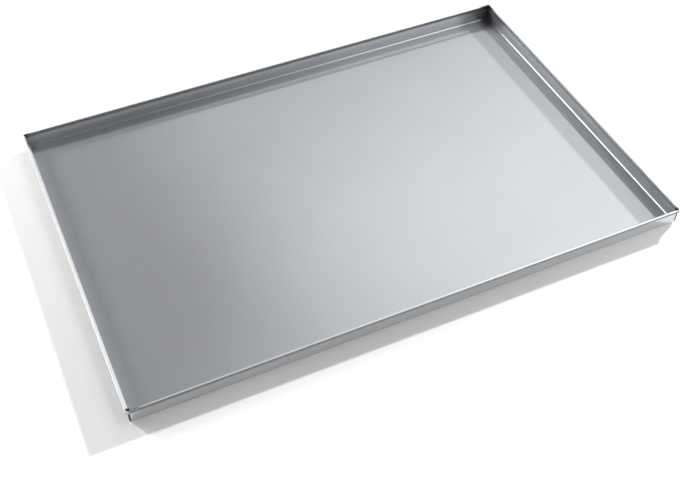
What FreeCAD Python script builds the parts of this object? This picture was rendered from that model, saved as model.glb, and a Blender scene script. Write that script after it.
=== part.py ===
import FreeCAD, Part
import math
import os

import Sketcher

# A bakery tray folded from one sheet: flat floor, four upright walls, and on each side a rim rolled outwards
# round a stiffening wire. The corners are square, each closed by a weld. Millimetres and degrees, Z up, X
# along the length, with the origin at the middle of the underside.
DRIVING_SIZES = {
    "tray_length": 600.0,
    "tray_width": 400.0,
    "tray_height": 20.0,
    "sheet_gauge": 0.8,
    "bend_radius": 1.5,
    "wire_diameter": 1.5,
    "wire_clearance": 0.05,
    "curl_opening": 70.0,
    "seam_gap": 0.2,
    "weld_crown": 0.15,
}

# The roll closes round the wire, and its outer skin is a sheet's gauge further out.
WIRE_RADIUS = "(sizes.wire_diameter / 2)"
CURL_INNER = f"({WIRE_RADIUS} + sizes.wire_clearance)"
CURL_OUTER = f"({CURL_INNER} + sizes.sheet_gauge)"

# The wall's inner face runs straight up into the outer skin of the roll, so it stands a roll's width inside
# the rim.
WALL_X = f"(sizes.tray_length / 2 - 2 * {CURL_OUTER})"
WALL_Y = f"(sizes.tray_width / 2 - 2 * {CURL_OUTER})"
BEND_TOP = "(sizes.sheet_gauge + sizes.bend_radius)"

# The axis of the roll and its wire.
BEAD_X = f"(sizes.tray_length / 2 - {CURL_OUTER})"
BEAD_Y = f"(sizes.tray_width / 2 - {CURL_OUTER})"
BEAD_Z = f"(sizes.tray_height - {CURL_OUTER})"

# Walls, rolls and wires all stop square a little short of the inner corner, where the weld takes over.
END_X = f"({WALL_X} - sizes.seam_gap)"
END_Y = f"({WALL_Y} - sizes.seam_gap)"

# The knob of the weld is a crown fatter than the rolls that it joins, and its middle lies half a crown
# further out than theirs.
KNOB_RADIUS = f"({CURL_OUTER} + sizes.weld_crown)"
KNOB_X = f"({BEAD_X} + sizes.weld_crown / 2)"
KNOB_Y = f"({BEAD_Y} + sizes.weld_crown / 2)"

# The sides of the X and Y axes that each corner lies on.
CORNERS = {"front_left": (-1, -1), "front_right": (1, -1), "back_left": (-1, 1), "back_right": (1, 1)}

# Directions: a rod that lies along X or Y, and a mirror plane square to X or Y.
ALONG_X = FreeCAD.Rotation(FreeCAD.Vector(0, 1, 0), 90)
ALONG_Y = FreeCAD.Rotation(FreeCAD.Vector(1, 0, 0), -90)
ACROSS_X = FreeCAD.Vector(1, 0, 0)
ACROSS_Y = FreeCAD.Vector(0, 1, 0)

# Handles of the sketcher: the origin, the X axis, and the ends and centre of an edge.
ORIGIN = (-1, 1)
X_AXIS = -1
START, END, CENTRE = range(1, 4)

doc = FreeCAD.newDocument("bakery_tray")
sheet = doc.addObject("Spreadsheet::Sheet", "sizes")
for row, (alias, number) in enumerate(DRIVING_SIZES.items(), start=1):
    sheet.set(f"A{row}", alias)
    sheet.set(f"B{row}", str(number))
    sheet.setAlias(f"B{row}", alias)
doc.recompute()


def size_of(expression):
    """Value of an expression in the sheet's sizes, used to draw a sketch close to its final shape."""
    return float(sheet.evalExpression(expression))


def add_sketch(body, name, plane_role):
    """An empty sketch on one of the body's own origin planes."""
    sketch = body.newObject("Sketcher::SketchObject", name)
    plane = next(feature for feature in body.Origin.OriginFeatures if feature.Role == plane_role)
    sketch.AttachmentSupport = [(plane, "")]
    sketch.MapMode = "FlatFace"
    return sketch


def tie(sketch, *parts):
    """A geometric constraint, such as coincident or vertical."""
    sketch.addConstraint(Sketcher.Constraint(*parts))


def drive(sketch, name, expression, kind, *parts):
    """A dimension that follows the sheet. Angles are written in degrees there and in radians here."""
    value = size_of(expression)
    if kind == "Angle":
        value = math.radians(value)
    index = sketch.addConstraint(Sketcher.Constraint(kind, *parts, value))
    sketch.renameConstraint(index, name)
    sketch.setExpression(f"Constraints.{name}", expression)


def draw_rectangle(sketch, name, near, near_sides, far, far_sides):
    """A rectangle between two opposite corners. A corner is a pair of distances from the Y and X axes, with
    the sides of those axes that it lies on, +1 or -1."""
    xs = [near_sides[0] * size_of(near[0]), far_sides[0] * size_of(far[0])]
    ys = [near_sides[1] * size_of(near[1]), far_sides[1] * size_of(far[1])]
    corners = [FreeCAD.Vector(xs[i], ys[j], 0) for i, j in ((0, 0), (1, 0), (1, 1), (0, 1))]
    first = sketch.addGeometry([Part.LineSegment(corners[i], corners[(i + 1) % 4]) for i in range(4)])[0]
    for i in range(4):
        tie(sketch, "Coincident", first + i, END, first + (i + 1) % 4, START)
    for i, direction in enumerate(("Horizontal", "Vertical", "Horizontal", "Vertical")):
        tie(sketch, direction, first + i)
    places = (("near", first, near, near_sides), ("far", first + 2, far, far_sides))
    for corner, edge, distances, sides in places:
        for kind, distance, side in zip(("DistanceX", "DistanceY"), distances, sides):
            ends = (*ORIGIN, edge, START) if side > 0 else (edge, START, *ORIGIN)
            drive(sketch, f"{name}_{corner}_{kind}", distance, kind, *ends)


def draw_centred_rectangle(sketch, name, half_x, half_y):
    """A rectangle about the origin."""
    draw_rectangle(sketch, name, (half_x, half_y), (-1, -1), (half_x, half_y), (1, 1))


def draw_wall_section(sketch):
    """Bend, wall and roll as one strip of sheet, drawn at the right-hand wall."""
    wall = size_of(WALL_X)
    gauge = size_of("sizes.sheet_gauge")
    bend = size_of("sizes.bend_radius")
    bend_top = size_of(BEND_TOP)
    bead = size_of(BEAD_Z)
    curl_outer = size_of(CURL_OUTER)
    curl_inner = size_of(CURL_INNER)
    lip = math.radians(size_of("sizes.curl_opening")) - math.pi
    up = FreeCAD.Vector(0, 0, 1)
    bend_centre = FreeCAD.Vector(wall - bend, bend_top, 0)
    curl_centre = FreeCAD.Vector(wall + curl_outer, bead, 0)
    lip_way = FreeCAD.Vector(math.cos(lip), math.sin(lip), 0)

    def arc(centre, radius, start, end):
        return Part.ArcOfCircle(Part.Circle(centre, up, radius), start, end)

    def line(x0, y0, x1, y1):
        return Part.LineSegment(FreeCAD.Vector(x0, y0, 0), FreeCAD.Vector(x1, y1, 0))

    edges = sketch.addGeometry([
        arc(bend_centre, bend, -math.pi / 2, 0),
        line(wall, bend_top, wall, bead),
        arc(curl_centre, curl_outer, lip, math.pi),
        Part.LineSegment(curl_centre + lip_way * curl_outer, curl_centre + lip_way * curl_inner),
        arc(curl_centre, curl_inner, lip, math.pi),
        line(wall + gauge, bead, wall + gauge, bend_top),
        arc(bend_centre, bend + gauge, -math.pi / 2, 0),
        line(wall - bend, 0, wall - bend, gauge),
    ])
    inner_bend, inner_face, outer_roll, lip_edge, inner_roll, outer_face, outer_bend, floor_edge = edges

    # The edges meet end to end, and the two skins of each curve share a centre.
    tie(sketch, "Coincident", inner_bend, END, inner_face, START)
    tie(sketch, "Coincident", inner_face, END, outer_roll, END)
    tie(sketch, "Coincident", outer_roll, START, lip_edge, START)
    tie(sketch, "Coincident", lip_edge, END, inner_roll, START)
    tie(sketch, "Coincident", inner_roll, END, outer_face, START)
    tie(sketch, "Coincident", outer_face, END, outer_bend, END)
    tie(sketch, "Coincident", outer_bend, START, floor_edge, START)
    tie(sketch, "Coincident", floor_edge, END, inner_bend, START)
    tie(sketch, "Coincident", inner_bend, CENTRE, outer_bend, CENTRE)
    tie(sketch, "Coincident", outer_roll, CENTRE, inner_roll, CENTRE)

    # The wall is upright, and bend and roll run into it without a kink.
    tie(sketch, "Vertical", inner_face)
    tie(sketch, "Vertical", outer_face)
    tie(sketch, "Vertical", floor_edge)
    tie(sketch, "Vertical", inner_bend, CENTRE, inner_bend, START)
    tie(sketch, "Horizontal", inner_bend, CENTRE, inner_bend, END)
    tie(sketch, "Horizontal", outer_bend, CENTRE, outer_bend, END)
    tie(sketch, "Horizontal", outer_roll, CENTRE, outer_roll, END)
    tie(sketch, "Horizontal", inner_roll, CENTRE, inner_roll, END)

    # The lip of the roll is cut square to the sheet and leaves a slot below the bead.
    tie(sketch, "PointOnObject", outer_roll, CENTRE, lip_edge)
    drive(sketch, "lip_angle", "sizes.curl_opening", "Angle", lip_edge)

    tie(sketch, "PointOnObject", outer_bend, START, X_AXIS)
    drive(sketch, "inner_bend_radius", "sizes.bend_radius", "Radius", inner_bend)
    drive(sketch, "outer_bend_radius", BEND_TOP, "Radius", outer_bend)
    drive(sketch, "roll_radius", CURL_OUTER, "Radius", outer_roll)
    drive(sketch, "wall_place", WALL_X, "DistanceX", *ORIGIN, inner_face, START)
    drive(sketch, "bead_height", BEAD_Z, "DistanceY", *ORIGIN, outer_roll, CENTRE)


def make_tray_sheet():
    """The folded blank: a floor plate, the wall section carried round it, and a notch at each corner."""
    body = doc.addObject("PartDesign::Body", "tray_sheet")

    floor_outline = add_sketch(body, "floor_outline", "XY_Plane")
    draw_centred_rectangle(
        floor_outline, "floor", f"{WALL_X} - sizes.bend_radius", f"{WALL_Y} - sizes.bend_radius"
    )
    floor_plate = body.newObject("PartDesign::Pad", "floor_plate")
    floor_plate.Profile = floor_outline
    floor_plate.setExpression("Length", "sizes.sheet_gauge")

    wall_route = add_sketch(body, "wall_route", "XY_Plane")
    draw_centred_rectangle(wall_route, "wall", WALL_X, WALL_Y)
    wall_section = add_sketch(body, "wall_section", "XZ_Plane")
    draw_wall_section(wall_section)
    doc.recompute()
    walls = body.newObject("PartDesign::AdditivePipe", "walls_and_roll")
    walls.Profile = wall_section
    walls.Spine = wall_route
    walls.Transition = "Right corner"
    doc.recompute()

    notch_outline = add_sketch(body, "notch_outline", "XY_Plane")
    notch_outline.setExpression("AttachmentOffset.Base.z", BEND_TOP)
    beyond_rim = (f"sizes.tray_length / 2 + {CURL_OUTER}", f"sizes.tray_width / 2 + {CURL_OUTER}")
    for name, sides in CORNERS.items():
        draw_rectangle(notch_outline, name, (END_X, END_Y), sides, beyond_rim, sides)
    whole = walls.Shape.Volume
    notches = body.newObject("PartDesign::Pocket", "corner_notches")
    notches.Profile = notch_outline
    notches.Type = "ThroughAll"
    notches.Reversed = True
    doc.recompute()
    if notches.Shape.Volume >= whole:
        raise RuntimeError("the corner notches cut nothing")
    return body


def place(solid, x, y, z):
    """Tie a primitive's position to the sheet."""
    for axis, expression in zip("xyz", (x, y, z)):
        solid.setExpression(f"Placement.Base.{axis}", expression)


def make_rod(name, direction, radius, length, x, y):
    """A round rod on the axis of a roll, lying along X or Y from the point where it starts."""
    rod = doc.addObject("Part::Cylinder", name)
    rod.Placement.Rotation = direction
    rod.setExpression("Radius", radius)
    rod.setExpression("Height", length)
    place(rod, x, y, BEAD_Z)
    return rod


def make_long_wire(name, side):
    """The straight stiffening wire in the roll of a long side. It ends flush with the roll."""
    return make_rod(name, ALONG_X, WIRE_RADIUS, f"2 * {END_X}", f"-{END_X}", f"{side} * {BEAD_Y}")


def make_short_wire(name, side):
    """The straight stiffening wire in the roll of a short side. It ends flush with the roll."""
    return make_rod(name, ALONG_Y, WIRE_RADIUS, f"2 * {END_Y}", f"{side} * {BEAD_X}", f"-{END_Y}")


def make_corner_weld(name):
    """The weld of the back right corner: a quarter-round seam up the notch, and a knob between the rolls."""
    seam = doc.addObject("Part::Cylinder", f"{name}_seam")
    seam.Angle = 90
    seam.setExpression("Radius", "sizes.sheet_gauge + sizes.seam_gap")
    seam.setExpression("Height", f"{BEAD_Z} - {BEND_TOP}")
    place(seam, END_X, END_Y, BEND_TOP)

    # A stub closes the cut end of each roll, and both stubs run into the knob.
    long_stub = make_rod(f"{name}_long_stub", ALONG_X, CURL_OUTER, f"{KNOB_X} - {END_X}", END_X, BEAD_Y)
    short_stub = make_rod(f"{name}_short_stub", ALONG_Y, CURL_OUTER, f"{KNOB_Y} - {END_Y}", BEAD_X, END_Y)

    knob = doc.addObject("Part::Sphere", f"{name}_knob")
    knob.setExpression("Radius", KNOB_RADIUS)
    place(knob, KNOB_X, KNOB_Y, BEAD_Z)

    weld = doc.addObject("Part::MultiFuse", name)
    weld.Shapes = [seam, long_stub, short_stub, knob]
    return weld


def mirror(source, name, normal):
    """The same piece on the other side of the tray's middle plane."""
    copy = doc.addObject("Part::Mirroring", name)
    copy.Source = source
    copy.Normal = normal
    return copy


weld_back_right = make_corner_weld("corner_weld_back_right")
weld_back_left = mirror(weld_back_right, "corner_weld_back_left", ACROSS_X)
sub_parts = [
    make_tray_sheet(),
    make_long_wire("rim_wire_front", -1),
    make_long_wire("rim_wire_back", 1),
    make_short_wire("rim_wire_left", -1),
    make_short_wire("rim_wire_right", 1),
    weld_back_right,
    weld_back_left,
    mirror(weld_back_right, "corner_weld_front_right", ACROSS_Y),
    mirror(weld_back_left, "corner_weld_front_left", ACROSS_Y),
]
doc.recompute()

failed = [item.Name for item in doc.Objects if {"Invalid", "Error"} & set(item.State)]
if failed:
    raise RuntimeError(f"failed to build: {failed}")
for part in sub_parts:
    part.Label = part.Name
    if part.Shape.isNull() or not part.Shape.isValid() or len(part.Shape.Solids) != 1:
        raise RuntimeError(f"{part.Label} is not one valid solid")

os.makedirs("parts", exist_ok=True)
for part in sub_parts:
    part.Shape.exportStep(f"parts/{part.Label}.step")
    box = part.Shape.BoundBox
    extents = f"{box.XLength:.2f} x {box.YLength:.2f} x {box.ZLength:.2f} mm"
    print(f"{part.Label}: {extents}, {part.Shape.Volume:.1f} mm3")
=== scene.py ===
"""A bakery tray dressed for the camera: folded sheet, rim wires and corner welds in the CAD model's frame."""

import logging
import math
from dataclasses import dataclass, field
from enum import Enum

import bmesh
import bpy
import numpy as np
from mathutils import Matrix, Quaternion, Vector


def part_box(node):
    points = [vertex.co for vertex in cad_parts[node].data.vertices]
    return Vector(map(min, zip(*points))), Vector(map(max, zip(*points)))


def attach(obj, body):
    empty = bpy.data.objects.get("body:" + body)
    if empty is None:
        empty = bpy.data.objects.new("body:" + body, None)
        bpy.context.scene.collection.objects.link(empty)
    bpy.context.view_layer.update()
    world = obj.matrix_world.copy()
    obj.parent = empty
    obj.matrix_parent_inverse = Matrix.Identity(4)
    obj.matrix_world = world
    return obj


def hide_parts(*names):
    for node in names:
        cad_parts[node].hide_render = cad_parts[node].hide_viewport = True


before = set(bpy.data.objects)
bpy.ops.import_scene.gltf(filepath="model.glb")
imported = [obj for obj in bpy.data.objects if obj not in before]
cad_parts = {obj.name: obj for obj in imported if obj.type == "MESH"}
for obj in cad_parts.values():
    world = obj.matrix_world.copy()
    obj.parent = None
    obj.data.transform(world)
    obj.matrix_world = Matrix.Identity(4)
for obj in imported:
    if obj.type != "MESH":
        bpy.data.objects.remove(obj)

log = logging.getLogger("bakery_tray")

MM = 0.001
BODY = "root"
MERGE_DISTANCE = 0.001 * MM
SHARP_ANGLE = math.radians(32)
BLANK_MAP = "blank"
NOT_ZERO = 1e-30
MEAN_RIPPLE = 0.6


class Side(Enum):
    """A side of the tray: the way out through its wall, and the way along it, a quarter turn on."""

    FRONT = ((0, -1), (1, 0))
    RIGHT = ((1, 0), (0, 1))
    BACK = ((0, 1), (-1, 0))
    LEFT = ((-1, 0), (0, -1))

    @property
    def out(self) -> np.ndarray:
        """Unit vector that points out of the tray through this side's wall."""
        return np.array(self.value[0], float)

    @property
    def along(self) -> np.ndarray:
        """Unit vector along this side."""
        return np.array(self.value[1], float)

    @property
    def is_long(self) -> bool:
        """True for the front and the back, which run along X."""
        return self.value[1][0] != 0


class Corner(Enum):
    """A corner of the tray, by the signs of X and Y there."""

    FRONT_LEFT = (-1, -1)
    FRONT_RIGHT = (1, -1)
    BACK_LEFT = (-1, 1)
    BACK_RIGHT = (1, 1)


class Skin(Enum):
    """A face of the sheet: the one inside the tray and over the rim, or the one underneath and outside."""

    INSIDE = 0
    OUTSIDE = 1


# Colour and shader nodes

def linear(hex_colour: str) -> tuple[float, float, float, float]:
    """Turn an sRGB hex colour into the linear one that shaders work in.

    Args:
        hex_colour: Six hex digits after a hash sign.

    Returns:
        Red, green and blue from 0 to 1, and an alpha of 1.
    """
    srgb = np.array([int(hex_colour[i:i + 2], 16) for i in (1, 3, 5)]) / 255
    rgb = np.where(srgb <= 0.04045, srgb / 12.92, ((srgb + 0.055) / 1.055) ** 2.4)
    return (*rgb.tolist(), 1.0)


def add_node(
    tree: bpy.types.NodeTree,
    kind: str,
    inputs: dict | None = None,
    out: str | None = None,
    **settings: object,
) -> bpy.types.NodeSocket | None:
    """Add one node to a tree, with its settings and links.

    Args:
        tree: The material's or the world's node tree.
        kind: Blender's name of the node type.
        inputs: A value or another node's output socket, by the name or number of the input.
        out: Name of the output to return, where it isn't the first one in use.
        **settings: Properties of the node itself.

    Returns:
        The output, or None from a node that has none.
    """
    node = tree.nodes.new(kind)
    for name, value in settings.items():
        setattr(node, name, value)
    for key, value in (inputs or {}).items():
        if isinstance(value, bpy.types.NodeSocket):
            tree.links.new(value, node.inputs[key])
        else:
            node.inputs[key].default_value = value
    if out:
        return node.outputs[out]
    return next((socket for socket in node.outputs if socket.enabled), None)


def new_tree(name: str) -> tuple[bpy.types.Material, bpy.types.NodeTree]:
    """Make a material with an empty node tree.

    Args:
        name: The material's name.

    Returns:
        The material and its tree.
    """
    material = bpy.data.materials.new(name)
    material.use_nodes = True
    material.node_tree.nodes.clear()
    return material, material.node_tree


def per_metre(size_mm: float) -> float:
    """Texture scale, in features per metre, for a pattern whose features are this many millimetres wide."""
    return 1 / (size_mm * MM)


def falling(middle: float, spread: float) -> dict[str, float]:
    """Output limits of a Map Range node that falls from above a middle value to below it."""
    return {"To Min": middle + spread, "To Max": middle - spread}


# Finishes

@dataclass(frozen=True)
class AluminisedSheet:
    """Hot-dip aluminised steel sheet, temper rolled and folded.

    Steel strip drawn through molten aluminium and silicon, then rolled: a satin blue-grey mirror that blurs
    what it shows, faintly streaked along the rolling direction and a little cloudy where the coating froze
    unevenly. The crest of the rim is rougher and less metallic from handling, and its lighter colour there is
    a painted highlight. The inside of the bends is lighter and more metallic: partly polish from the folding
    tool, partly a painted highlight. Beside the corners the coating is dull and dark, partly from weld heat
    and partly as painted corner shade. Dark lines of painted shade run along the inner edge of the rim and
    low on the outside of the front roll. Sizes are in millimetres.
    """

    name: str = "aluminised_steel_sheet"
    pale: str = "#D4D7DB"
    deep: str = "#CED1D5"
    # Lighter colour inside the bends: partly polish, partly a painted highlight.
    burnish_and_highlight_colour: str = "#F4F5F7"
    # Lighter colour on the roll's worn crest: a painted highlight.
    scuff_and_highlight_colour: str = "#EDEEF0"
    # Dark colour of weld heat, also used for painted shade in the corners, along the rim's inner edge and
    # under the front roll.
    burnt_and_shaded: str = "#1E1B19"
    metallic: float = 0.7
    burnished_metallic: float = 0.95
    scuffed_metallic: float = 0.5
    roughness: float = 0.09
    roughness_spread: float = 0.015
    scuffed_roughness: float = 0.24
    burn_and_shade_roughness: float = 0.55
    haze: float = 1.0
    haze_roughness: float = 0.5
    streak_width: float = 1.6
    streak_length: float = 240.0
    streak_share: float = 0.45
    cloud_size: float = 70.0
    grain_size: float = 2.2
    grain_share: float = 0.35
    relief_height: float = 0.004

    def material(self) -> bpy.types.Material:
        """Build the material.

        Returns:
            A material that reads the blank map and the sheet's attributes: darkening from weld heat and
            painted shade, a lighter band on the bends that is partly a painted highlight, and the roll's worn
            crest with a painted highlight.
        """
        material, tree = new_tree(self.name)
        blank = add_node(tree, "ShaderNodeUVMap", uv_map=BLANK_MAP)
        burn_and_shade, burnish_and_highlight, scuff_and_highlight = (
            add_node(tree, "ShaderNodeAttribute", out="Fac", attribute_name=mark)
            for mark in ("burn_and_shade", "burnish_and_highlight", "scuff_and_highlight")
        )

        # Rolling streaks: noise drawn out along the blank's length. Real lines are far finer than this, and
        # these are drawn wide enough to show.
        stretch = (per_metre(self.streak_length), per_metre(self.streak_width), 1.0)
        drawn_out = add_node(tree, "ShaderNodeMapping", {"Vector": blank, "Scale": stretch})
        streaks = add_node(
            tree, "ShaderNodeTexNoise", {"Vector": drawn_out, "Scale": 1.0, "Detail": 3.0, "Roughness": 0.6}
        )

        # Clouds of the frozen coating, and a fine grain in them.
        clouds = add_node(
            tree, "ShaderNodeTexNoise",
            {"Vector": blank, "Scale": per_metre(self.cloud_size), "Detail": 3.0, "Roughness": 0.55},
        )
        grain = add_node(
            tree, "ShaderNodeTexNoise",
            {"Vector": blank, "Scale": per_metre(self.grain_size), "Detail": 2.0, "Roughness": 0.5},
        )

        # Colour: deep to pale by cloud and streak, lighter on the bends and the roll's crest (partly painted
        # highlight), then darkened in patches by weld heat and painted shade.
        mottle = add_node(
            tree, "ShaderNodeMix", {"Factor": self.streak_share, "A": clouds, "B": streaks}, data_type="FLOAT"
        )
        colour = linear(self.deep)
        contrast = add_node(tree, "ShaderNodeMapRange", {"Value": mottle, "From Min": 0.3, "From Max": 0.7})
        patchy = add_node(
            tree, "ShaderNodeMapRange",
            {"Value": grain, "From Min": 0.25, "From Max": 0.75, "To Min": 0.7, "To Max": 1.1},
        )
        # Darkening from weld heat and painted shade, uneven by the grain.
        patchy_burn_and_shade = add_node(tree, "ShaderNodeMath", {0: burn_and_shade, 1: patchy}, operation="MULTIPLY", use_clamp=True)
        layers = ((contrast, self.pale), (burnish_and_highlight, self.burnish_and_highlight_colour), (scuff_and_highlight, self.scuff_and_highlight_colour), (patchy_burn_and_shade, self.burnt_and_shaded))
        for share, shade in layers:
            colour = add_node(
                tree, "ShaderNodeMix", {"Factor": share, 6: colour, 7: linear(shade)}, data_type="RGBA"
            )

        # Gloss: satin, uneven by cloud and streak, rougher on the roll's crest and dull under the weld heat
        # and the painted shade.
        gloss = add_node(
            tree, "ShaderNodeMapRange",
            {
                "Value": mottle, "From Min": 0.25, "From Max": 0.75,
                **falling(self.roughness, self.roughness_spread),
            },
        )
        for share, level in ((scuff_and_highlight, self.scuffed_roughness), (patchy_burn_and_shade, self.burn_and_shade_roughness)):
            gloss = add_node(
                tree, "ShaderNodeMix", {"Factor": share, "A": gloss, "B": level}, data_type="FLOAT"
            )
        metal = self.metallic
        for share, level in ((burnish_and_highlight, self.burnished_metallic), (scuff_and_highlight, self.scuffed_metallic)):
            metal = add_node(
                tree, "ShaderNodeMix", {"Factor": share, "A": metal, "B": level}, data_type="FLOAT"
            )

        relief = add_node(
            tree, "ShaderNodeMix", {"Factor": self.grain_share, "A": streaks, "B": grain}, data_type="FLOAT"
        )
        bump = add_node(
            tree, "ShaderNodeBump", {"Height": relief, "Strength": 0.12, "Distance": self.relief_height * MM}
        )
        # The oxide skin over the metal spreads a faint wide haze round the lamps that the sheet mirrors.
        shader = add_node(
            tree, "ShaderNodeBsdfPrincipled",
            {
                "Base Color": colour, "Metallic": metal, "Roughness": gloss, "Normal": bump,
                "Coat Weight": self.haze, "Coat Roughness": self.haze_roughness,
            },
        )
        add_node(tree, "ShaderNodeOutputMaterial", {"Surface": shader})
        return material


@dataclass(frozen=True)
class DrawnWire:
    """Plain steel wire, drawn through a die and cut: mid-grey, with bright lines along its length.

    Sizes are in millimetres.
    """

    name: str = "drawn_steel_wire"
    pale: str = "#B9B8B6"
    deep: str = "#8B8A89"
    roughness: float = 0.36
    roughness_spread: float = 0.08
    line_width: float = 0.25
    line_length: float = 40.0
    line_depth: float = 0.01

    def material(self) -> bpy.types.Material:
        """Build the material.

        Returns:
            A material that reads the wire's own map, along it and round it in metres.
        """
        material, tree = new_tree(self.name)
        place = add_node(tree, "ShaderNodeUVMap", uv_map=BLANK_MAP)
        stretch = (per_metre(self.line_length), per_metre(self.line_width), 1.0)
        drawn_out = add_node(tree, "ShaderNodeMapping", {"Vector": place, "Scale": stretch})
        lines = add_node(tree, "ShaderNodeTexNoise", {"Vector": drawn_out, "Scale": 1.0, "Detail": 2.0})
        colour = add_node(
            tree, "ShaderNodeMix",
            {"Factor": lines, 6: linear(self.deep), 7: linear(self.pale)}, data_type="RGBA",
        )
        gloss = add_node(
            tree, "ShaderNodeMapRange", {"Value": lines, **falling(self.roughness, self.roughness_spread)}
        )
        bump = add_node(
            tree, "ShaderNodeBump", {"Height": lines, "Strength": 0.4, "Distance": self.line_depth * MM}
        )
        shader = add_node(
            tree, "ShaderNodeBsdfPrincipled",
            {"Base Color": colour, "Metallic": 1.0, "Roughness": gloss, "Normal": bump},
        )
        add_node(tree, "ShaderNodeOutputMaterial", {"Surface": shader})
        return material


@dataclass(frozen=True)
class ScaledWeld:
    """Steel weld metal, dressed bright on the outside of the corner and left as welded on the inside.

    As welded it has a skin of black scale with brown temper colours in its hollows. Where the corner was
    dressed with a wheel the bare steel shows, satin grey. Sizes are in millimetres.
    """

    name: str = "heat_scaled_weld_steel"
    scale: str = "#0E0D0D"
    temper: str = "#2A2421"
    flaked: str = "#4A4A4E"
    dressed: str = "#E6E7E9"
    metallic: float = 0.5
    dressed_metallic: float = 0.35
    roughness: float = 0.5
    roughness_spread: float = 0.12
    dressed_roughness: float = 0.45
    patch_size: float = 1.4
    grit_size: float = 0.3
    grit_height: float = 0.06

    def material(self) -> bpy.types.Material:
        """Build the material.

        Returns:
            A material on object coordinates, which reads the weld's scale attribute.
        """
        material, tree = new_tree(self.name)
        place = add_node(tree, "ShaderNodeTexCoord", out="Object")
        scaled = add_node(tree, "ShaderNodeAttribute", out="Fac", attribute_name="scale")
        patches, grit = (
            add_node(tree, "ShaderNodeTexNoise", {"Vector": place, "Scale": per_metre(size), "Detail": 2.0})
            for size in (self.patch_size, self.grit_size)
        )
        tempered = add_node(
            tree, "ShaderNodeMapRange", {"Value": patches, "From Min": 0.4, "From Max": 0.65}
        )
        flaking = add_node(
            tree, "ShaderNodeMapRange", {"Value": grit, "From Min": 0.66, "From Max": 0.78, "To Max": 0.6}
        )
        skin = linear(self.scale)
        for share, shade in ((tempered, self.temper), (flaking, self.flaked)):
            skin = add_node(
                tree, "ShaderNodeMix", {"Factor": share, 6: skin, 7: linear(shade)}, data_type="RGBA"
            )
        colour = add_node(
            tree, "ShaderNodeMix", {"Factor": scaled, 6: linear(self.dressed), 7: skin}, data_type="RGBA"
        )
        uneven = add_node(
            tree, "ShaderNodeMapRange", {"Value": grit, **falling(self.roughness, self.roughness_spread)}
        )
        gloss, metal = (
            add_node(tree, "ShaderNodeMix", {"Factor": scaled, "A": dressed, "B": welded}, data_type="FLOAT")
            for dressed, welded in ((self.dressed_roughness, uneven), (self.dressed_metallic, self.metallic))
        )
        bump = add_node(
            tree, "ShaderNodeBump", {"Height": grit, "Strength": 0.5, "Distance": self.grit_height * MM}
        )
        shader = add_node(
            tree, "ShaderNodeBsdfPrincipled",
            {"Base Color": colour, "Metallic": metal, "Roughness": gloss, "Normal": bump},
        )
        add_node(tree, "ShaderNodeOutputMaterial", {"Surface": shader})
        return material


@dataclass(frozen=True)
class WhiteTable:
    """Matt white table top: flat white, so that it shows the tray's shadow and nothing else."""

    name: str = "matt_white_table"
    colour: str = "#FAF9F7"
    lift: float = 0.095

    def material(self) -> bpy.types.Material:
        """Build the material.

        Returns:
            A matt white that is lifted towards pure white where the camera or a reflection looks at it.
        """
        material, tree = new_tree(self.name)
        matt = add_node(tree, "ShaderNodeBsdfDiffuse", {"Color": linear(self.colour)})
        rays = add_node(tree, "ShaderNodeLightPath").node.outputs
        seen = add_node(
            tree, "ShaderNodeMath", {0: rays["Is Camera Ray"], 1: rays["Is Glossy Ray"]}, operation="ADD"
        )
        seen_or_through = add_node(
            tree, "ShaderNodeMath", {0: seen, 1: rays["Is Transmission Ray"]}, operation="ADD", use_clamp=True
        )
        strength = add_node(tree, "ShaderNodeMath", {0: seen_or_through, 1: self.lift}, operation="MULTIPLY")
        glow = add_node(tree, "ShaderNodeEmission", {"Strength": strength})
        both = add_node(tree, "ShaderNodeAddShader", {0: matt, 1: glow})
        add_node(tree, "ShaderNodeOutputMaterial", {"Surface": both})
        return material


# Surfaces

@dataclass
class Patch:
    """A grid of points on a surface.

    Attributes:
        points: Rows by columns by three, in metres. The way along the rows crossed with the way along the
            columns points out of the metal.
        blank: Rows by columns by two: the place of each point on the flat blank, in metres.
    """

    points: np.ndarray
    blank: np.ndarray

    def turned_over(self) -> "Patch":
        """The same grid facing the other way."""
        return Patch(self.points[:, ::-1], self.blank[:, ::-1])

    def quads(self, first: int) -> np.ndarray:
        """Corner numbers of the grid's faces.

        Args:
            first: Number of the grid's first point in the mesh.

        Returns:
            Faces by four.
        """
        rows, columns = self.points.shape[:2]
        number = first + np.arange(rows * columns).reshape(rows, columns)
        corners = [number[:-1, :-1], number[1:, :-1], number[1:, 1:], number[:-1, 1:]]
        return np.stack(corners, axis=-1).reshape(-1, 4)


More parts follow.
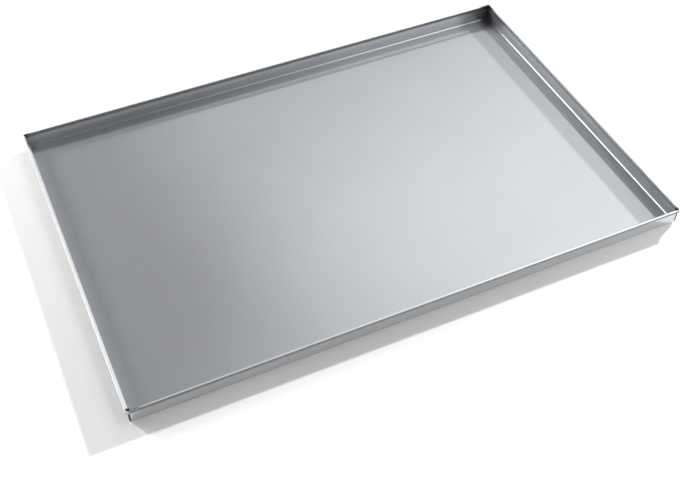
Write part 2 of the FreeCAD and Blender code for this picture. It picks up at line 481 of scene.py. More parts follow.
def join_patches(name: str, patches: list[Patch]) -> bpy.types.Object:
    """Join grids into one smooth mesh object at the origin, with touching points merged.

    Args:
        name: Name of the object.
        patches: The grids, which meet point on point.

    Returns:
        The object, linked to the scene, with the blank map as its UV map.
    """
    counts = [patch.points.shape[0] * patch.points.shape[1] for patch in patches]
    firsts = np.cumsum([0, *counts[:-1]])
    points = np.concatenate([patch.points.reshape(-1, 3) for patch in patches])
    blank = np.concatenate([patch.blank.reshape(-1, 2) for patch in patches])
    quads = np.concatenate([patch.quads(first) for patch, first in zip(patches, firsts)])

    mesh = bpy.data.meshes.new(name)
    mesh.from_pydata(points.tolist(), [], quads.tolist())
    layer = mesh.uv_layers.new(name=BLANK_MAP)
    layer.uv.foreach_set("vector", blank[quads.ravel()].astype(np.float32).ravel())

    merged = bmesh.new()
    merged.from_mesh(mesh)
    bmesh.ops.remove_doubles(merged, verts=merged.verts, dist=MERGE_DISTANCE)
    bmesh.ops.dissolve_degenerate(merged, edges=merged.edges, dist=MERGE_DISTANCE)
    merged.to_mesh(mesh)
    merged.free()
    mesh.shade_smooth()
    mesh.set_sharp_from_angle(angle=SHARP_ANGLE)

    piece = bpy.data.objects.new(name, mesh)
    bpy.context.scene.collection.objects.link(piece)
    return piece


def points_of(piece: bpy.types.Object) -> np.ndarray:
    """Points of a mesh object.

    Args:
        piece: The object.

    Returns:
        Points by three, in metres.
    """
    flat = np.empty(len(piece.data.vertices) * 3, np.float32)
    piece.data.vertices.foreach_get("co", flat)
    return flat.reshape(-1, 3).astype(float)


def set_attribute(piece: bpy.types.Object, name: str, values: np.ndarray) -> None:
    """Give every point of a mesh object a number that materials can read.

    Args:
        piece: The object.
        name: Name of the attribute.
        values: One number for each point.
    """
    attribute = piece.data.attributes.new(name, "FLOAT", "POINT")
    attribute.data.foreach_set("value", values.astype(np.float32))


def dress(piece: bpy.types.Object, material: bpy.types.Material, node: str) -> None:
    """Give a piece its material and say which body it rides on and what it stands for.

    Args:
        piece: The object.
        material: Its material.
        node: The CAD node that it replaces.
    """
    piece.data.materials.append(material)
    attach(piece, BODY)
    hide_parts(node)


def smoothstep(low: float, high: float, value: np.ndarray) -> np.ndarray:
    """Ease from 0 at low to 1 at high, with no slope at either end.

    Args:
        low: Where the rise starts.
        high: Where it ends. It may be the smaller of the two.
        value: Any array.

    Returns:
        An array of the same shape.
    """
    share = np.clip((value - low) / (high - low), 0, 1)
    return share * share * (3 - 2 * share)


def waves(place: np.ndarray, lengths: tuple[float, ...], seed: int) -> np.ndarray:
    """Gentle unevenness: the mean of a few sine waves with random phases.

    Args:
        place: Positions in metres.
        lengths: Wavelengths in metres.
        seed: Seed of the phases.

    Returns:
        Heights from -1 to 1, shaped like place.
    """
    phases = np.random.default_rng(seed).uniform(0, 2 * math.pi, len(lengths))
    each = [np.sin(2 * math.pi * place / length + phase) for length, phase in zip(lengths, phases)]
    return np.mean(each, axis=0)


# Sub-assemblies

@dataclass(frozen=True)
class TraySizes:
    """Sizes that the sheet, the wires and the welds share, in metres.

    Attributes:
        wall_x: Distance of the short walls' inner faces from the middle.
        wall_y: Distance of the long walls' inner faces from the middle.
        end_x: Where the long walls and their rolls stop.
        end_y: Where the short walls and their rolls stop.
        bead_height: Height of the roll's axis.
        roll_radius: Outer radius of the roll.
        gauge: Thickness of the sheet.
        bend_radius: Inner radius of the bend between floor and wall.
        curl_opening: Angle of the slot that the roll leaves open under the bead.
    """

    wall_x: float
    wall_y: float
    end_x: float
    end_y: float
    bead_height: float
    roll_radius: float
    gauge: float = 0.8 * MM
    bend_radius: float = 1.5 * MM
    curl_opening: float = math.radians(70)

    @classmethod
    def from_frame(cls) -> "TraySizes":
        """Read the sizes off the boxes of the CAD nodes.

        Returns:
            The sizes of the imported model.
        """
        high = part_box("tray_sheet")[1]
        long_low, long_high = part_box("rim_wire_back")
        short_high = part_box("rim_wire_right")[1]
        bead_height = (long_low.z + long_high.z) / 2
        roll_radius = high.z - bead_height
        return cls(
            wall_x=high.x - 2 * roll_radius,
            wall_y=high.y - 2 * roll_radius,
            end_x=long_high.x,
            end_y=short_high.y,
            bead_height=bead_height,
            roll_radius=roll_radius,
        )

    @property
    def bend_top(self) -> float:
        """Height at which the bend ends and the upright wall starts."""
        return self.gauge + self.bend_radius

    def wall_of(self, side: Side) -> float:
        """Distance of a side's inner wall face from the middle."""
        return self.wall_y if side.is_long else self.wall_x

    def reach_of(self, side: Side) -> float:
        """Distance from the middle of a side to the inner wall face that it runs up to."""
        return self.wall_x if side.is_long else self.wall_y

    def end_of(self, side: Side) -> float:
        """Distance from the middle of a side to the cut end of its wall and roll."""
        return self.end_x if side.is_long else self.end_y


@dataclass(frozen=True)
class WeldBurnAndShade:
    """How far one weld darkens the sheet's coating: weld heat, and painted shade in the corner.

    Attributes:
        wall: Reach over the inside of the walls and the floor.
        long_roll: Reach along the inside and top of the roll on the front or back.
        short_roll: The same on the left or right.
    """

    wall: float
    long_roll: float
    short_roll: float


class MarkBand(Enum):
    """Where a mark on the sheet fades: none at the first number, full at the second.

    INTO counts thicknesses of the sheet below its inside face, and BEND counts bend radii from the bend's
    centre. UP counts roll radii up from the roll's axis, and OVER counts them out from the inner wall face.
    """

    INTO_SHEET = (0.7, 0.3)
    BEND_OUT = (0.4, 0.75)
    BEND_DOWN = (0.1, 0.4)
    UP_TO_ROLL = (-1.9, -1.0)
    # The roll's worn crest, whose lighter colour is a painted highlight.
    UP_TO_SCUFF_AND_HIGHLIGHT = (0.8, 0.97)
    # Bands of painted shade: low on the outside of the front roll, and along the inner edge of the rim.
    UP_TO_UNDERROLL_SHADE = (0.75, 0.35)
    OVER_TO_UNDERROLL_SHADE = (1.0, 1.3)
    OVER_TO_CREASE_SHADE = (0.4, 0.12)
    # Over the roll near the welds: weld heat, and painted corner shade.
    OVER_TO_BURN_AND_SHADE = (1.3, 0.95)

    def share(self, place: np.ndarray) -> np.ndarray:
        """Strength of the mark, from 0 to 1, at each place."""
        return smoothstep(*self.value, place)


@dataclass
class TraySheet:
    """The folded blank: floor, bends, walls and rolled rim, as one closed shell.

    Attributes:
        sizes: The tray's shared sizes.
        finish: The sheet's finish.
        bend_steps: Steps of the mesh round a bend.
        wall_steps: Steps up a wall.
        roll_steps: Steps round the roll.
        long_steps: Steps along a long side.
        short_steps: Steps along a short side.
        floor_crown: How far the floor lifts off flat at most.
        crown_ease: Distance from a bend over which that lift comes in.
        wall_bow: How far a wall's face strays from flat at most.
        bow_waves: Wavelengths of that bow.
        outer_burn_and_shade: How far the coating darkens over the outer part of a weld's reach, from 0 to 1:
            weld heat, and painted shade in the corner.
        burnt_and_shaded: How much further it darkens beside the weld, also weld heat and painted corner
            shade.
        outer_band_edge: Share of a weld's reach at which that outer darkening is full.
        core_edge: Share of its reach at which the further darkening starts.
        roll_edge: Share of its reach along a roll at which the darkening there is full.
        painted_crease_shade: How dark the painted shade is along the inner edge of the rim.
        painted_underroll_shade: How dark the painted shade is on the lower outside of the front roll.
        weld_burns_and_shades: How far the darkening of each weld reaches. The one at the back right reaches
            furthest.
    """

    sizes: TraySizes
    finish: AluminisedSheet
    bend_steps: int = 14
    wall_steps: int = 10
    roll_steps: int = 40
    long_steps: int = 96
    short_steps: int = 72
    floor_crown: float = 0.12 * MM
    crown_ease: float = 90 * MM
    wall_bow: float = 0.06 * MM
    bow_waves: tuple[float, ...] = (0.31, 0.17, 0.083)
    # Darkening near the welds: weld heat, and painted shade in the corners.
    outer_burn_and_shade: float = 0.32
    burnt_and_shaded: float = 0.28
    outer_band_edge: float = 0.6
    core_edge: float = 0.4
    roll_edge: float = 0.6
    # Strength of painted shade along the rim's inner edge, and low on the outside of the front roll.
    painted_crease_shade: float = 0.7
    painted_underroll_shade: float = 0.85
    # Reach of that darkening at each weld.
    weld_burns_and_shades: dict[Corner, WeldBurnAndShade] = field(
        default_factory=lambda: {
            Corner.FRONT_LEFT: WeldBurnAndShade(wall=14 * MM, long_roll=14 * MM, short_roll=3 * MM),
            Corner.FRONT_RIGHT: WeldBurnAndShade(wall=12 * MM, long_roll=3 * MM, short_roll=4 * MM),
            Corner.BACK_RIGHT: WeldBurnAndShade(wall=48 * MM, long_roll=14 * MM, short_roll=14 * MM),
            Corner.BACK_LEFT: WeldBurnAndShade(wall=12 * MM, long_roll=6 * MM, short_roll=30 * MM),
        }
    )

    def depth(self, skin: Skin) -> float:
        """Depth of a skin below the inside one, through the sheet."""
        return 0.0 if skin is Skin.INSIDE else self.sizes.gauge

    def bend_section(self, skin: Skin) -> np.ndarray:
        """Section of the bend.

        A quarter circle about the bend's centre, from straight down to straight out. Its radius is the bend's
        plus the depth of the skin.

        Args:
            skin: The face of the sheet.

        Returns:
            Steps by two: distance out from the inner wall face, and height.
        """
        size = self.sizes
        turn = np.linspace(-math.pi / 2, 0, self.bend_steps + 1)
        radius = size.bend_radius + self.depth(skin)
        out = radius * np.cos(turn) - size.bend_radius
        return np.stack([out, radius * np.sin(turn) + size.bend_top], axis=-1)

    def wall_section(self, skin: Skin) -> np.ndarray:
        """Section of the wall and the roll.

        A straight line up to the height of the roll's axis, then a circle about that axis, from the wall over
        the top and round to the lip. Its radius is the roll's less the depth of the skin.

        Args:
            skin: The face of the sheet.

        Returns:
            Steps by two: distance out from the inner wall face, and height.
        """
        size = self.sizes
        depth = self.depth(skin)
        height = np.linspace(size.bend_top, size.bead_height, self.wall_steps + 1)
        wall = np.stack([np.full_like(height, depth), height], axis=-1)
        turn = np.linspace(math.pi, size.curl_opening - math.pi, self.roll_steps + 1)[1:]
        radius = size.roll_radius - depth
        roll = np.stack(
            [size.roll_radius + radius * np.cos(turn), size.bead_height + radius * np.sin(turn)], axis=-1
        )
        return np.concatenate([wall, roll])

    def stations(self, side: Side) -> np.ndarray:
        """Places along a side, from one cut end to the other, closer together towards the ends.

        They follow a cubic with no slope at its ends: 1.5 t less 0.5 t cubed.

        Args:
            side: The side of the tray.

        Returns:
            Distances from the middle of the side.
        """
        steps = self.long_steps if side.is_long else self.short_steps
        t = np.linspace(-1, 1, steps + 1)
        return self.sizes.end_of(side) * (1.5 * t - 0.5 * t ** 3)

    def mitred(self, side: Side, out: np.ndarray) -> np.ndarray:
        """Places along the rows of a bend, out to the mitres at its two corners.

        Inside the wall face, each row is shorter than the wall by as much as it lies further in. A last step
        at each end runs on to the mitre, where the bend meets its neighbour.

        Args:
            side: The side of the tray.
            out: Distance of each row out from the inner wall face.

        Returns:
            Rows by columns.
        """
        size = self.sizes
        end = size.end_of(side)
        inner = self.stations(side)[None, :] * ((end + np.minimum(out, 0)) / end)[:, None]
        mitre = (size.reach_of(side) + out)[:, None]
        return np.concatenate([-mitre, inner, mitre], axis=1)

    def carry(self, side: Side, section: np.ndarray, along: np.ndarray, start: float, bow: float) -> Patch:
        """Carry a section along a side.

        Args:
            side: The side of the tray.
            section: Rows by two: distance out from the inner wall face, and height.
            along: Rows by columns: places along the side.
            start: Place of the first row on the flat blank, out from the inner wall face.
            bow: How far the rows bulge out at most, strongest at half the wall's height.

        Returns:
            The grid, facing into the tray.
        """
        size = self.sizes
        rise = np.clip((section[:, 1] - size.bend_top) / (size.bead_height - size.bend_top), 0, 1)
        seed = list(Side).index(side)
        bulge = bow * np.sin(math.pi * rise)[:, None] ** 2 * waves(along, self.bow_waves, seed)
        wall = size.wall_of(side)
        out = wall + section[:, 0][:, None] + bulge
        flat = out[..., None] * side.out + along[..., None] * side.along
        height = np.broadcast_to(section[:, 1][:, None], along.shape)
        run = np.concatenate([[0], np.cumsum(np.linalg.norm(np.diff(section, axis=0), axis=1))])
        blank = (wall + start + run)[:, None, None] * side.out + along[..., None] * side.along
        return Patch(np.concatenate([flat, height[..., None]], axis=-1), blank)

    def floor(self, skin: Skin) -> Patch:
        """The flat floor, very slightly crowned.

        The lift is the product of two waves that run along and across the floor, squared so that it never
        dips below flat, and eased to nothing towards the bends.

        Args:
            skin: The face of the sheet.

        Returns:
            The grid, facing up.
        """
        size = self.sizes
        row = np.array([-size.bend_radius])
        x = self.mitred(Side.FRONT, row)[0]
        y = self.mitred(Side.RIGHT, row)[0]
        across, along = np.meshgrid(x, y, indexing="ij")
        ease_x = smoothstep(0, self.crown_ease, x[-1] - np.abs(across))
        ease_y = smoothstep(0, self.crown_ease, y[-1] - np.abs(along))
        # Each set of waves leans a little off its axis.
        long_swell = waves(across + 0.4 * along, lengths=(0.43, 0.29, 0.19), seed=5)
        cross_swell = waves(along - 0.3 * across, lengths=(0.37, 0.21), seed=6)
        lift = self.floor_crown * ease_x * ease_y * (long_swell * cross_swell) ** 2
        height = size.gauge - self.depth(skin) + lift
        points = np.stack([across, along, height], axis=-1)
        return Patch(points, points[..., :2])

    def ledge(self, side: Side) -> list[Patch]:
        """The two flat ends of a bend, which the notches at the corners leave bare.

        Args:
            side: The side of the tray.

        Returns:
            One grid of a single face at each end, facing up.
        """
        size = self.sizes
        end = size.end_of(side)
        out = np.array([[0.0, 0.0], [size.gauge, size.gauge]])
        along = np.array([[end, size.reach_of(side)], [end, size.reach_of(side) + size.gauge]])
        ledges = []
        for sign in (1, -1):
            flat = (size.wall_of(side) + out)[..., None] * side.out + sign * along[..., None] * side.along
            patch = Patch(np.concatenate([flat, np.full((2, 2, 1), size.bend_top)], axis=-1), flat)
            ledges.append(patch if sign > 0 else patch.turned_over())
        return ledges

    def side_patches(self, side: Side) -> list[Patch]:
        """All grids of one side: both skins of bend, wall and roll, the lip, the cut ends and the ledges.

        Args:
            side: The side of the tray.

        Returns:
            Grids that close against each other, the floor and the next sides' bends.
        """
        skins = []
        for skin in Skin:
            bend = self.bend_section(skin)
            wall = self.wall_section(skin)
            along = np.broadcast_to(self.stations(side), (len(wall), len(self.stations(side))))
            arc = self.sizes.bend_radius * math.pi / 2
            skins.append([
                self.carry(side, bend, self.mitred(side, bend[:, 0]), -self.sizes.bend_radius, 0.0),
                self.carry(side, wall, along, arc - self.sizes.bend_radius, self.wall_bow),
            ])
        (bend_in, wall_in), (bend_out, wall_out) = skins
        lip = self.strip(wall_in, wall_out, (-1, slice(None)))
        first_end = self.strip(wall_in, wall_out, (slice(None), 0))
        last_end = self.strip(wall_in, wall_out, (slice(None), -1))
        closing = [lip, first_end, last_end.turned_over(), *self.ledge(side)]
        return [bend_in, wall_in, bend_out.turned_over(), wall_out.turned_over(), *closing]

    @staticmethod
    def strip(inside: Patch, outside: Patch, edge: tuple) -> Patch:
        """The cut edge between the two skins.

        Args:
            inside: Grid of the inside skin.
            outside: Grid of the outside skin, with as many points.
            edge: Index of the row or column that is the edge.

        Returns:
            A grid of two rows.
        """
        return Patch(
            np.stack([inside.points[edge], outside.points[edge]]),
            np.stack([inside.blank[edge], outside.blank[edge]]),
        )

    def build(self) -> bpy.types.Object:
        """Make the sheet's mesh and dress it.

        Returns:
            The finished piece.
        """
        patches = [self.floor(Skin.INSIDE), self.floor(Skin.OUTSIDE).turned_over()]
        for side in Side:
            patches += self.side_patches(side)
        piece = join_patches("folded_sheet", patches)
        self.mark(piece)
        dress(piece, self.finish.material(), "tray_sheet")
        return piece

    def mark(self, piece: bpy.types.Object) -> None:
        """Give the sheet its attributes of darkening, of the bends' lighter band and of the roll's lighter
        crest.

        Near each weld the darkening falls off with the distance, along the two walls of its corner, from
        their cut ends. It covers the inside face and, over reaches of their own, the inside and top of the
        two rolls: weld heat, and painted shade in the corner. Painted shade in lines, along the inner edge of
        the rim and low on the outside of the front roll, joins the same attribute. The lighter band covers
        the middle of the inside of the
        bends where nothing darkens them: partly polish, partly a painted highlight. The lighter crest is wear
        with a painted highlight.

        Args:
            piece: The sheet's object.
        """
        size = self.sizes
        points = points_of(piece)
        ends = np.array([size.end_x, size.end_y])
        past_walls = np.abs(points[:, :2]) - np.array([size.wall_x, size.wall_y])
        past_wall = np.max(past_walls, axis=1)
        past_bend = past_wall + size.bend_radius
        below_wall = size.bend_top - points[:, 2]

        # Depth below the inside face: out from the wall, down from the floor, or away from the bend's centre.
        in_bend = np.hypot(past_bend, below_wall) - size.bend_radius
        on_floor = size.gauge - points[:, 2]
        depth = np.where(below_wall < 0, past_wall, np.where(past_bend < 0, on_floor, in_bend))
        inside = MarkBand.INTO_SHEET.share(depth / size.gauge)

        up = (points[:, 2] - size.bead_height) / size.roll_radius
        over = past_wall / size.roll_radius
        near_top = MarkBand.UP_TO_ROLL.share(up)
        # Painted shade: a dark line along the inner edge of the rim, below the roll.
        crease_shade_band = np.where(up > 0, MarkBand.OVER_TO_CREASE_SHADE.share(over), inside) * near_top
        roll_burn_and_shade = np.where(up > 0, MarkBand.OVER_TO_BURN_AND_SHADE.share(over), inside) * near_top
        on_long = past_walls[:, 1] > past_walls[:, 0]
        front = on_long & (points[:, 1] < 0)
        # Painted shade on the lower outside of the front roll.
        underroll_shade_band = MarkBand.UP_TO_UNDERROLL_SHADE.share(up) * MarkBand.OVER_TO_UNDERROLL_SHADE.share(over) * front

        burn_and_shade_total = np.maximum(self.painted_crease_shade * crease_shade_band, self.painted_underroll_shade * underroll_shade_band)
        # Near each weld the coating darkens: weld heat, and painted shade in the corner.
        for corner, burn_and_shade in self.weld_burns_and_shades.items():
            distance = np.maximum(ends - points[:, :2] * corner.value, 0).sum(axis=1)
            outer_band = self.outer_burn_and_shade * smoothstep(burn_and_shade.wall, self.outer_band_edge * burn_and_shade.wall, distance)
            core = self.burnt_and_shaded * smoothstep(self.core_edge * burn_and_shade.wall, 0, distance)
            reach = np.where(on_long, burn_and_shade.long_roll, burn_and_shade.short_roll)
            on_roll = roll_burn_and_shade * smoothstep(1.0, self.roll_edge, distance / reach)
            burn_and_shade_total = np.maximum(burn_and_shade_total, np.maximum(inside * (outer_band + core), on_roll))
        set_attribute(piece, "burn_and_shade", burn_and_shade_total)

        # Lighter band inside the bends: partly polish, partly a painted highlight.
        turned = MarkBand.BEND_OUT.share(past_bend / size.bend_radius)
        turned = turned * MarkBand.BEND_DOWN.share(below_wall / size.bend_radius)
        clear_of_darkening = 1 - np.minimum(burn_and_shade_total / self.outer_burn_and_shade, 1)
        set_attribute(piece, "burnish_and_highlight", inside * turned * clear_of_darkening)
        # The roll's worn crest: rougher and less metallic, with a lighter colour that is a painted highlight.
        set_attribute(piece, "scuff_and_highlight", MarkBand.UP_TO_SCUFF_AND_HIGHLIGHT.share(up))


@dataclass
class RimWire:
    """A straight stiffening wire inside the roll of one side, cropped square with a small burr-free edge.

    Attributes:
        side: The side of the tray.
        finish: The wire's finish.
        round_steps: Steps of the mesh round the wire.
        long_steps: Steps along it.
        edge: Width of the broken edge at each end.
    """

    side: Side
    finish: DrawnWire
    round_steps: int = 24
    long_steps: int = 24
    edge: float = 0.15 * MM

    @property
    def node(self) -> str:
        """Name of the CAD node."""
        return f"rim_wire_{self.side.name.lower()}"

    def surface(self) -> Patch:
        """The wire's skin: a circle carried along the axis, drawn in at the ends and closed at a point.

        Returns:
            The grid, facing out.
        """
        low, high = (np.array(corner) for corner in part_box(self.node))
        middle = (low + high) / 2
        axis = 0 if self.side.is_long else 1
        half = (high[axis] - low[axis]) / 2
        radius = (high[2] - low[2]) / 2
        shaft = np.linspace(self.edge - half, half - self.edge, self.long_steps + 1)
        along = np.concatenate([[-half, -half], shaft, [half, half]])
        tip = radius - self.edge
        girth = np.concatenate([[0, tip], np.full(len(shaft), radius), [tip, 0]])
        turn = np.linspace(0, 2 * math.pi, self.round_steps + 1)
        way = np.eye(3)[axis]
        flank = np.eye(3)[1 - axis]
        ring = np.cos(turn)[:, None] * flank + np.sin(turn)[:, None] * np.array([0, 0, 1.0])
        points = middle + along[:, None, None] * way + girth[:, None, None] * ring[None]
        blank = np.stack(np.broadcast_arrays(along[:, None], radius * turn[None, :]), axis=-1)
        patch = Patch(points, blank)
        return patch.turned_over() if axis == 0 else patch

    def build(self) -> bpy.types.Object:
        """Make the wire's mesh and dress it.

        Returns:
            The finished piece.
        """
        piece = join_patches(f"stiffening_wire_{self.side.name.lower()}", [self.surface()])
        dress(piece, self.finish.material(), self.node)
        return piece


@dataclass
class CornerWeld:
    """The weld of one corner: a rippled seam up the outside of the notch and a lump over the rolls' ends.

    Attributes:
        corner: The corner of the tray.
        sizes: The tray's shared sizes.
        finish: The weld's finish.
        seam_half: Half the width of the seam.
        lump_reach: How far the lump laps back over the ends of the rolls.
        ripple_pitch: Distance from one ripple of the weld to the next.
        ripple_height: Height of the ripples.
        ripple_dip: How far they dip towards the outside of the corner, in pitches.
        lump_height: Height of the unevenness on top of them.
        lump_waves: Distances over which that unevenness turns through one radian.
        lump_power: Power of the superellipse that the lump follows over its height.
        squareness: Power of the superellipse that a section follows.
        blend_power: Power by which seam and lump are blended.
        dressed_edge: Where, past the rolls' ends on the diagonal, the scale starts and is full again.
        seam_scale: Share of the scale that is left on the outside of the seam.
        seam_start: Where, in roll radii below the rolls' axes, that scale starts and is full.
        round_steps: Steps of the mesh round the weld.
        climb_steps: Steps up it.
    """

    corner: Corner
    sizes: TraySizes
    finish: ScaledWeld
    seam_half: float = 0.95 * MM
    lump_reach: float = 2.2 * MM
    ripple_pitch: float = 1.1 * MM
    ripple_height: float = 0.07 * MM
    ripple_dip: float = 0.5
    lump_height: float = 0.12 * MM
    lump_waves: tuple[float, float] = (1.9 * MM, 1.1 * MM)
    lump_power: float = 2.6
    squareness: float = 2.8
    blend_power: int = 6
    dressed_edge: tuple[float, float] = (1.7 * MM, 0.8 * MM)
    seam_scale: float = 0.12
    seam_start: tuple[float, float] = (0.6, 1.6)
    round_steps: int = 48
    climb_steps: int = 96

    @property
    def node(self) -> str:
        """Name of the CAD node."""
        return f"corner_weld_{self.corner.name.lower()}"

    def surface(self) -> Patch:
        """The weld's skin: a rounded square carried up the corner, swelling from the seam into the lump.

        The seam's half width is steady and closes round the foot as a quarter circle. The lump's follows a
        superellipse over its height. The two are blended by the root of the sum of their powers, and the
        middle of the section moves along the corner's diagonal by the same shares. Ripples climb in arcs that
        dip towards the outside, and sine waves round and up the weld make it lumpy.

        Returns:
            The grid, facing out.
        """
        size = self.sizes
        low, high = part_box(self.node)
        foot, top = low.z, high.z
        tip = np.maximum(np.abs(np.array(low)), np.abs(np.array(high)))[:2]
        signs = np.array(self.corner.value, float)
        seed = list(Corner).index(self.corner)

        # Rows are bunched at the foot and the top, where the surface closes.
        climb = (1 - np.cos(np.linspace(0, math.pi, self.climb_steps + 1))) / 2
        height = foot + (top - foot) * climb
        lump_half = (tip[0] - size.end_x + self.lump_reach) / 2 - self.lump_height
        lump_middle = tip[0] - lump_half - self.lump_height - size.end_x
        rise = np.clip(np.abs(height - size.bead_height) / (top - size.bead_height), 0, 1)
        lump = lump_half * (1 - rise ** self.lump_power) ** (1 / self.lump_power)
        close = np.clip((height - foot) / self.seam_half, 0, 1)
        fade = smoothstep(top, size.bead_height, height)
        seam = self.seam_half * np.sqrt(1 - (1 - close) ** 2) * fade
        seam_middle = size.gauge / 2
        both = seam ** self.blend_power + lump ** self.blend_power
        whole = both ** (1 / self.blend_power)
        share = lump ** self.blend_power / np.maximum(both, NOT_ZERO)
        offset = seam_middle + (lump_middle - seam_middle) * share
        middle = np.array([size.end_x, size.end_y]) + offset[:, None]

        turn = np.linspace(0, 2 * math.pi, self.round_steps + 1)
        power = self.squareness
        square = (np.abs(np.cos(turn)) ** power + np.abs(np.sin(turn)) ** power) ** (-1 / power)
        dip = self.ripple_dip * np.cos(turn - math.pi / 4)[None, :] * self.ripple_pitch
        ripple = np.abs(np.sin(math.pi * (height[:, None] + dip) / self.ripple_pitch))
        phase = np.random.default_rng(seed).uniform(0, 2 * math.pi, 3)
        lumps = (
            np.sin(2 * turn + phase[0])[None, :] * np.sin(height / self.lump_waves[0] + phase[1])[:, None]
            + np.sin(3 * turn + phase[2])[None, :] * np.sin(height / self.lump_waves[1] + phase[0])[:, None]
        ) / 2
        uneven = self.ripple_height * (ripple - MEAN_RIPPLE) + self.lump_height * lumps * share[:, None]
        closing = np.clip(whole / self.seam_half, 0, 1)[:, None]
        radius = whole[:, None] * square[None, :] + uneven * closing

        x = np.clip(signs[0] * (middle[:, 0][:, None] + radius * np.cos(turn)), -tip[0], tip[0])
        y = np.clip(signs[1] * (middle[:, 1][:, None] + radius * np.sin(turn)), -tip[1], tip[1])
        z = np.broadcast_to(height[:, None], x.shape)
        blank = np.stack(np.broadcast_arrays(self.seam_half * turn[None, :], height[:, None]), axis=-1)
        patch = Patch(np.stack([x, y, z], axis=-1), blank)
        return patch.turned_over() if signs.prod() > 0 else patch

    def build(self) -> bpy.types.Object:
        """Make the weld's mesh and dress it.

        Returns:
            The finished piece.
        """
        piece = join_patches(f"weld_bead_{self.corner.name.lower()}", [self.surface()])
        self.mark(piece)
        dress(piece, self.finish.material(), self.node)
        return piece

    def mark(self, piece: bpy.types.Object) -> None:
        """Give the weld its scale attribute: 1 inside the corner, less where the outside was dressed.

        It falls along the corner's diagonal, and the seam keeps some scale all round below the lump.

        Args:
            piece: The weld's object.
        """
        size = self.sizes
        points = points_of(piece)
        diagonal = np.mean(np.abs(points[:, :2]) - np.array([size.end_x, size.end_y]), axis=1)
        inside = smoothstep(*self.dressed_edge, diagonal)
        below = smoothstep(*self.seam_start, (size.bead_height - points[:, 2]) / size.roll_radius)
        set_attribute(piece, "scale", np.maximum(inside, self.seam_scale * below))


# Table, lamps and camera

@dataclass(frozen=True)
class Lamp:
    """A rectangular soft box that is aimed at the middle of the tray.

    Attributes:
        name: Name of the lamp.
        way: Direction from the tray to the lamp, of any length.
        distance: How far away it stands, in metres.
        width: Its width, in metres.
        height: Its height, in metres.
        level: Brightness that it gives a white table, where 1 is white.
        mirrored: Whether polished surfaces show the lamp itself.
    """

    name: str
    way: tuple[float, float, float]
    distance: float
    width: float
    height: float
    level: float
    mirrored: bool = True

    def build(self) -> bpy.types.Object:
        """Make the lamp.

        A small lamp of power P at distance d, square on, lights a table that it sees under elevation e to
        P sin(e) / (pi d) squared.

        Returns:
            The lamp object.
        """
        way = Vector(self.way).normalized()
        light = bpy.data.lights.new(self.name, "AREA")
        light.shape = "RECTANGLE"
        light.size = self.width
        light.size_y = self.height
        light.energy = self.level * (math.pi * self.distance) ** 2 / way.z
        lamp = bpy.data.objects.new(self.name, light)
        lamp.visible_glossy = self.mirrored
        lamp.visible_camera = False
        lamp.location = way * self.distance
        lamp.rotation_mode = "QUATERNION"
        lamp.rotation_quaternion = (-way).to_track_quat("-Z", "Y")
        bpy.context.scene.collection.objects.link(lamp)
        return lamp


@dataclass(frozen=True)
class Glow:
    """A soft bright part of the room, round one direction.

    Attributes:
        azimuth: Angle to the right of the way from the front to the back of the tray, in degrees.
        elevation: Angle above the table, in degrees.
        inner: Angle from the middle within which it is at its full level, in degrees.
        outer: Angle from the middle at which it ends, in degrees.
        level: Brightness that it adds to the room, where 1 is white.
    """

    azimuth: float
    elevation: float
    inner: float
    outer: float
    level: float

    @property
    def way(self) -> tuple[float, float, float]:
        """Unit vector towards the middle of the glow."""
        turn, rise = math.radians(self.azimuth), math.radians(self.elevation)
        return math.sin(turn) * math.cos(rise), math.cos(turn) * math.cos(rise), math.sin(rise)


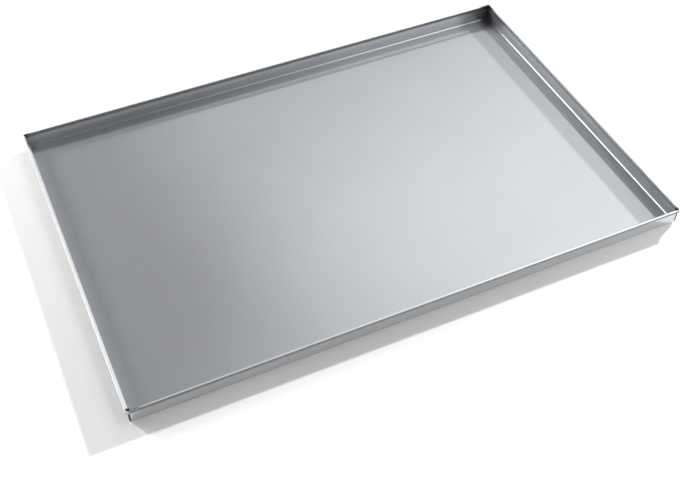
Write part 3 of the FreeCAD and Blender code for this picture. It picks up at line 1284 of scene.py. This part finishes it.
@dataclass
class Studio:
    """White table, two soft boxes, a white card in front, a dim room with a bright side, and the camera.

    Attributes:
        table: Finish of the table.
        table_half: Half the width of the table, in metres.
        table_drop: Gap between the table and the tray's underside, in metres.
        camera_place: Where the camera stands, in metres.
        camera_aim: Point in the middle of the picture, in metres.
        camera_roll: Turn of the camera about its line of sight.
        focal_length: Focal length in millimetres on a sensor 36 mm wide.
        room_level: Brightness of the room at its darkest, where 1 is white.
        glows: The brighter parts of the room: two high at the back right, one low and wide there, two at the
            front right, a small one high on the right, one at the back, and a window at the back left.
        lamps: The soft boxes on the right and behind, and the card.
    """

    table: WhiteTable = field(default_factory=WhiteTable)
    table_half: float = 30.0
    table_drop: float = 0.15 * MM
    camera_place: tuple[float, float, float] = (-0.3296, -0.7165, 0.7884)
    camera_aim: tuple[float, float, float] = (-0.0475, -0.1020, 0.0201)
    camera_roll: float = math.radians(0.23)
    focal_length: float = 53.83
    room_level: float = 0.135
    glows: tuple[Glow, ...] = (
        Glow(azimuth=50.7, elevation=52.3, inner=0, outer=25.6, level=0.68),
        Glow(azimuth=75.6, elevation=57.7, inner=2.6, outer=24.8, level=1.16),
        Glow(azimuth=49.6, elevation=-25, inner=4.7, outer=64.7, level=2.09),
        Glow(azimuth=132.4, elevation=16.7, inner=23.5, outer=41.4, level=0.72),
        Glow(azimuth=140, elevation=40, inner=4, outer=16, level=0.38),
        Glow(azimuth=110, elevation=61, inner=6, outer=12, level=3.0),
        Glow(azimuth=30.1, elevation=36.6, inner=8.5, outer=19.5, level=0.44),
        Glow(azimuth=-50, elevation=22, inner=6, outer=21.2, level=4.0),
    )
    lamps: tuple[Lamp, ...] = (
        Lamp("key_soft_box", way=(4.58, 1.75, 2.35), distance=5.5, width=0.25, height=0.25, level=0.50),
        Lamp(
            "back_soft_box", way=(-0.69, 0.58, 0.44), distance=1.4, width=0.13, height=0.41, level=0.235,
            mirrored=False,
        ),
        Lamp(
            "white_card", way=(0.46, -0.42, 0.20), distance=0.65, width=0.30, height=0.30, level=0.031,
            mirrored=False,
        ),
    )

    def build(self) -> None:
        """Make the table, the lamps, the room and the camera, and set the view to plain colours."""
        self.lay_table()
        for lamp in self.lamps:
            lamp.build()
        self.light_room()
        self.aim_camera()
        bpy.context.scene.view_settings.view_transform = "Standard"

    def lay_table(self) -> None:
        """Lay a wide flat table under the tray."""
        half = self.table_half
        mesh = bpy.data.meshes.new("table")
        corners = [(-half, -half), (half, -half), (half, half), (-half, half)]
        mesh.from_pydata([(x, y, -self.table_drop) for x, y in corners], [], [(0, 1, 2, 3)])
        mesh.materials.append(self.table.material())
        table = bpy.data.objects.new("table", mesh)
        bpy.context.scene.collection.objects.link(table)

    def light_room(self) -> None:
        """Light the room from all round.

        One dim level, and the sum of the glows on top of it, each eased in from its outer to its inner angle.
        """
        world = bpy.data.worlds.new("room")
        world.use_nodes = True
        tree = world.node_tree
        tree.nodes.clear()
        way = add_node(tree, "ShaderNodeTexCoord", out="Generated")
        level: float | bpy.types.NodeSocket = self.room_level
        for glow in self.glows:
            towards = add_node(tree, "ShaderNodeVectorMath", {0: way, 1: glow.way}, operation="DOT_PRODUCT")
            eased = add_node(
                tree, "ShaderNodeMapRange",
                {
                    "Value": towards, "From Min": math.cos(math.radians(glow.outer)),
                    "From Max": math.cos(math.radians(glow.inner)), "To Max": glow.level,
                },
                interpolation_type="SMOOTHSTEP",
            )
            level = add_node(tree, "ShaderNodeMath", {0: level, 1: eased}, operation="ADD")
        shine = add_node(tree, "ShaderNodeBackground", {"Strength": level})
        add_node(tree, "ShaderNodeOutputWorld", {"Surface": shine})
        bpy.context.scene.world = world

    def aim_camera(self) -> None:
        """Set the camera up at the photograph's viewing angle."""
        camera = bpy.data.cameras.new("camera")
        camera.lens = self.focal_length
        place = Vector(self.camera_place)
        sight = Vector(self.camera_aim) - place
        holder = bpy.data.objects.new("camera", camera)
        holder.location = place
        holder.rotation_mode = "QUATERNION"
        roll = Quaternion((0, 0, 1), self.camera_roll)
        holder.rotation_quaternion = sight.to_track_quat("-Z", "Y") @ roll
        bpy.context.scene.collection.objects.link(holder)
        bpy.context.scene.camera = holder


def main() -> None:
    """Build every piece in order, then the studio."""
    logging.basicConfig(level=logging.INFO, format="%(name)s: %(message)s")
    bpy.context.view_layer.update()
    sizes = TraySizes.from_frame()
    wire_finish = DrawnWire()
    weld_finish = ScaledWeld()
    makers = [TraySheet(sizes, AluminisedSheet())]
    makers += [RimWire(side, wire_finish) for side in Side]
    makers += [CornerWeld(corner, sizes, weld_finish) for corner in Corner]
    for maker in makers:
        piece = maker.build()
        log.info("%s: %d faces", piece.name, len(piece.data.polygons))
    Studio().build()


if __name__ == "__main__":
    main()
